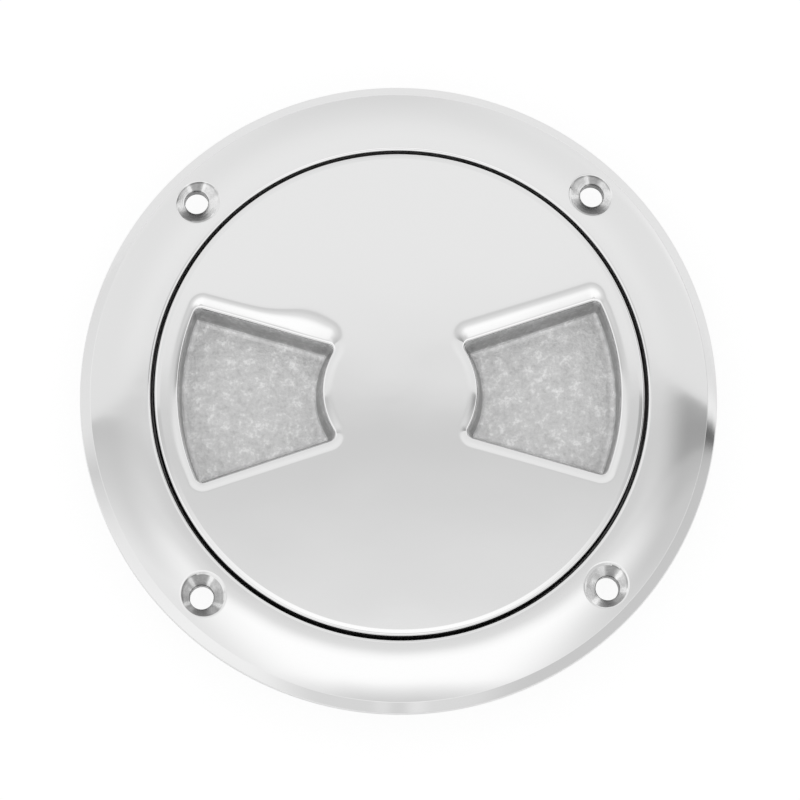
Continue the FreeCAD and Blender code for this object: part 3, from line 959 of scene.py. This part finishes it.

# %% [markdown]
# The countersinks are drilled. Fine rings run round each axis, and the painted reflections are the values
# on the mesh, a little broken up.

# %% Steel of the countersinks
drilled_steel, tree, shader, place = new_material("drilled_steel", Metallic=1.0, Roughness=0.18)
folded = add_node(tree, "ShaderNodeVectorMath", {0: place}, operation="ABSOLUTE").outputs[0]
hole_axis = (abs(hole_centres[0][0]), abs(hole_centres[0][1]), 0.0)
reach = add_node(tree, "ShaderNodeVectorMath", {0: folded, 1: hole_axis}, operation="SUBTRACT").outputs[0]
level = add_node(tree, "ShaderNodeVectorMath", {0: reach, 1: (1, 1, 0)}, operation="MULTIPLY").outputs[0]
distance = add_node(tree, "ShaderNodeVectorMath", {0: level}, operation="LENGTH").outputs["Value"]
distance = add_node(tree, "ShaderNodeCombineXYZ", {0: distance}).outputs[0]
rings = noise_of(tree, distance, 0.22 * mm, detail=3.0)
ring_bump = add_node(tree, "ShaderNodeBump", {"Height": rings, "Distance": 0.03 * mm})
tree.links.new(ring_bump.outputs[0], shader.inputs["Normal"])
# Base colour is painted reflection: the painted rays, sectors and bore shade held on the mesh.
painted_glint_value = add_node(tree, "ShaderNodeAttribute", attribute_name="painted_glints").outputs["Fac"]
scuffs = calculate(tree, "MULTIPLY_ADD", noise_of(tree, place, 0.7 * mm, detail=3.0), 0.5, 0.75)
grey = calculate(tree, "MINIMUM", calculate(tree, "MULTIPLY", painted_glint_value, scuffs), 1.0)
tree.links.new(mixed_grey(tree, grey), shader.inputs["Base Color"])

# %% [markdown]
# The recess, the rim's side and the threads are turned and never polished. Their dark grey is partly
# painted shade in the gap between ring and cover, and only the upper part of the recess's wall keeps a
# lighter grey. The undersides are blasted.

# %% Steel of the turned faces and of the underside
# The dark turned grey is partly painted shade in the gap between ring and cover.
turned_steel_and_painted_shade = new_material("turned_steel_and_painted_shade", Base_Color=grey_of(0.30), Metallic=1.0, Roughness=0.45)[0]
recess_steel = new_material("recess_steel", Base_Color=grey_of(0.85), Metallic=1.0, Roughness=0.45)[0]
blasted_steel, tree, shader, place = new_material(
    "blasted_steel", Base_Color=grey_of(0.55), Metallic=1.0, Roughness=0.55
)
fine_grain = noise_of(tree, place, 0.5 * mm, detail=2.0)
blasted_bump = add_node(tree, "ShaderNodeBump", {"Height": fine_grain, "Distance": 0.06 * mm})
tree.links.new(blasted_bump.outputs[0], shader.inputs["Normal"])

# %% Black rubber of the seal
rubber = new_material("rubber", Base_Color=grey_of(0.012), Roughness=0.6)[0]

# %% [markdown]
# ## Finishes on their faces
# Each face of a piece gets its finish from where it lies.

# %% Give the faces their finishes
def finish_faces(piece, finishes, choice):
    """Give each face the finish that the choice returns for its middle, and for being as packed."""
    piece.data.materials.clear()
    for finish in finishes:
        piece.data.materials.append(finish)
    marks = piece.data.attributes["as_packed"].data
    for face, mark in zip(piece.data.polygons, marks):
        face.material_index = finishes.index(choice(face.center, mark.value))
    used = [face.material_index for face in piece.data.polygons]
    print(piece.name, {finish.name: used.count(number) for number, finish in enumerate(finishes)})


def ring_finish(middle, as_packed):
    """Flange, countersinks and recess of the skin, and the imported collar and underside."""
    across = middle.to_2d().length
    if as_packed:
        return turned_steel_and_painted_shade if middle.z > 0.001 * mm or across < recess_radius else blasted_steel
    in_hole = any(from_axis(centre, middle) < countersink for centre in hole_centres)
    if in_hole and middle.z < crown(across) - 0.4 * mouth_ease:
        return drilled_steel
    if across > recess_radius + 0.02 * mm:
        return flange_steel
    # Below its upper band the recess wall takes the dark turned grey, painted shade deep in the gap.
    return recess_steel if middle.z > ledge_height + 1.4 * mm else turned_steel_and_painted_shade


def cover_finish(middle, as_packed):
    """Top and pockets of the skin, the rim's side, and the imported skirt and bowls."""
    across = middle.to_2d().length
    if as_packed:
        return turned_steel_and_painted_shade if across > pocket_outer - 1.5 * mm else blasted_steel
    on_rim = across > rim_radius - 0.5 * mm and middle.z < rim_corner - 0.9 * rim_round
    # The rim's side, in the gap, takes the dark turned grey, which is partly painted shade.
    return turned_steel_and_painted_shade if on_rim else cover_steel


ring_finishes = [flange_steel, drilled_steel, recess_steel, turned_steel_and_painted_shade, blasted_steel]
finish_faces(deck_ring, ring_finishes, ring_finish)
finish_faces(cover, [cover_steel, turned_steel_and_painted_shade, blasted_steel], cover_finish)
seal.data.materials.append(rubber)

# %% [markdown]
# ## Floor and light
# The plate lies in a light tent. The tent is a sky whose brightness changes from south to north and
# falls off to the right, as a mirror-like plate needs something to reflect.

# %% Floor
floor_height = ring_low.z
bpy.ops.object.select_all(action="DESELECT")
bpy.ops.mesh.primitive_plane_add(size=4.0, location=(0, 0, floor_height))
floor = bpy.context.object
floor.name = "floor"
paper = bpy.data.materials.new("paper")
paper.use_nodes = True
tree = paper.node_tree
tree.nodes.clear()
lit = add_node(tree, "ShaderNodeBsdfDiffuse", {"Color": grey_of(0.94)}).outputs[0]
soft = add_node(tree, "ShaderNodeBsdfDiffuse", {"Color": grey_of(0.16)}).outputs[0]
white = add_node(tree, "ShaderNodeEmission", {"Color": grey_of(0.885), "Strength": 1.0}).outputs[0]
seen = add_node(tree, "ShaderNodeAddShader", {0: soft, 1: white}).outputs[0]
rays = add_node(tree, "ShaderNodeLightPath").outputs
mirrored_share = calculate(tree, "MULTIPLY", rays["Is Glossy Ray"], 0.24)
share = calculate(tree, "MAXIMUM", rays["Is Camera Ray"], mirrored_share)
mixed = add_node(tree, "ShaderNodeMixShader", {0: share, 1: lit, 2: seen}).outputs[0]
add_node(tree, "ShaderNodeOutputMaterial", {0: mixed})
floor.data.materials.append(paper)

# %% [markdown]
# The tent's brightness is given over the angle from straight up to the north. Towards the right and
# the left it has its own level in the southern half.

# %% Light tent
world = bpy.data.worlds.new("light_tent")
bpy.context.scene.world = world
world.use_nodes = True
tree = world.node_tree
tree.nodes.clear()
direction = add_node(tree, "ShaderNodeTexCoord").outputs["Generated"]
east, north, up = add_node(tree, "ShaderNodeSeparateXYZ", {0: direction}).outputs
north_angle = calculate(tree, "DEGREES", calculate(tree, "ARCTAN2", north, up))
east_angle = calculate(tree, "DEGREES", calculate(tree, "ARCTAN2", east, up))
side_angle = calculate(tree, "ABSOLUTE", east_angle)
west_angle = calculate(tree, "MULTIPLY", east_angle, -1.0)
off_middle = calculate(tree, "MAXIMUM", calculate(tree, "SUBTRACT", side_angle, 4.0), 0.0)
spread = calculate(tree, "MULTIPLY", off_middle, 0.66)
low_share = calculate(tree, "SUBTRACT", 1.0, ease(tree, north_angle, -18.0, -8.0))
spread_angle = calculate(tree, "MULTIPLY_ADD", spread, low_share, north_angle)
middle_light = curve_of(tree, spread_angle, [
    (-90, 0.70), (-77, 0.70), (-62, 1.00), (-45, 0.95), (-35, 0.72), (-28.5, 0.68), (-25.5, 0.755),
    (-23, 0.83), (-21, 0.90), (-19, 0.98), (-16.5, 1.07), (-13, 1.10), (-3, 1.10), (0, 1.03), (3, 0.86),
    (4.3, 0.79),
    (5.9, 0.775), (7.4, 0.71), (9, 0.675), (10.3, 0.645), (10.65, 0.73), (11.1, 0.81), (12, 0.85),
    (15, 0.885), (20, 0.885), (28, 0.86), (36, 0.81), (46, 0.76), (60, 0.72), (75, 0.70), (90, 0.70),
])
east_light = curve_of(tree, north_angle, [
    (-90, 0.70), (-60, 0.85), (-40, 0.80), (-20, 0.75), (-9, 0.65), (-2, 0.63), (0.6, 0.56),
    (4, 0.52), (5.5, 0.39), (8.5, 0.365), (11, 0.42),
])
west_light = curve_of(tree, north_angle, [
    (-90, 0.70), (-25, 0.85), (-9, 0.87), (-4, 0.78), (0.6, 0.69), (4.3, 0.64), (8.5, 0.585), (11, 0.58),
])
east_edge = curve_of(tree, north_angle, [
    (-90, 0.70), (-73, 0.62), (-45, 0.55), (-30, 0.50), (0, 0.30), (25, 0.15), (50, 0.13),
    (62, 0.30), (70, 0.90), (77, 1.00), (85, 0.85), (90, 0.80),
])
west_edge = curve_of(tree, north_angle, [
    (-90, 0.75), (-73, 0.97), (-50, 0.75), (-30, 0.66), (0, 0.75), (50, 0.84), (77, 0.83), (90, 0.80),
])
leaning = calculate(tree, "MAXIMUM", calculate(tree, "MINIMUM", east_angle, 4.5), -4.5)
northern = ease(tree, calculate(tree, "MULTIPLY_ADD", leaning, -0.1, north_angle), 10.2, 11.0)
southern = calculate(tree, "SUBTRACT", 1.0, northern)
east_share = calculate(tree, "MULTIPLY", ease(tree, east_angle, 9.0, 30.0), southern)
west_share = calculate(tree, "MULTIPLY", ease(tree, west_angle, 5.0, 26.0), southern)
side_share = calculate(tree, "MULTIPLY", ease(tree, side_angle, 5.0, 25.0), northern)
light = blend_values(tree, east_share, middle_light, east_light)
light = blend_values(tree, west_share, light, west_light)
light = blend_values(tree, side_share, light, 0.83)
light = blend_values(tree, ease(tree, east_angle, 50.0, 68.0), light, east_edge)
light = blend_values(tree, ease(tree, west_angle, 50.0, 68.0), light, west_edge)
zenith_angle = calculate(tree, "DEGREES", calculate(tree, "ARCCOSINE", up))
above, below = ease(tree, zenith_angle, 42.0, 50.0), ease(tree, zenith_angle, 60.0, 70.0)
not_north = calculate(tree, "SUBTRACT", 1.0, ease(tree, north_angle, 28.0, 45.0))
strip = calculate(tree, "MULTIPLY", calculate(tree, "SUBTRACT", above, below), not_north)
light = blend_values(tree, strip, light, 1.08)
camera_ray = add_node(tree, "ShaderNodeLightPath").outputs["Is Camera Ray"]
light = blend_values(tree, camera_ray, light, 1.0)
sky = mixed_grey(tree, light)
background = add_node(tree, "ShaderNodeBackground", {"Color": sky, "Strength": 1.0}).outputs[0]
add_node(tree, "ShaderNodeOutputWorld", {0: background})

bpy.context.scene.view_settings.view_transform = "Standard"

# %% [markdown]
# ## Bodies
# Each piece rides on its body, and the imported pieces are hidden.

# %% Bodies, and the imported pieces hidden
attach(deck_ring, "ring")
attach(seal, "seal")
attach(cover, "lid")
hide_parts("deck_ring")
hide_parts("cover")
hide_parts("o_ring")
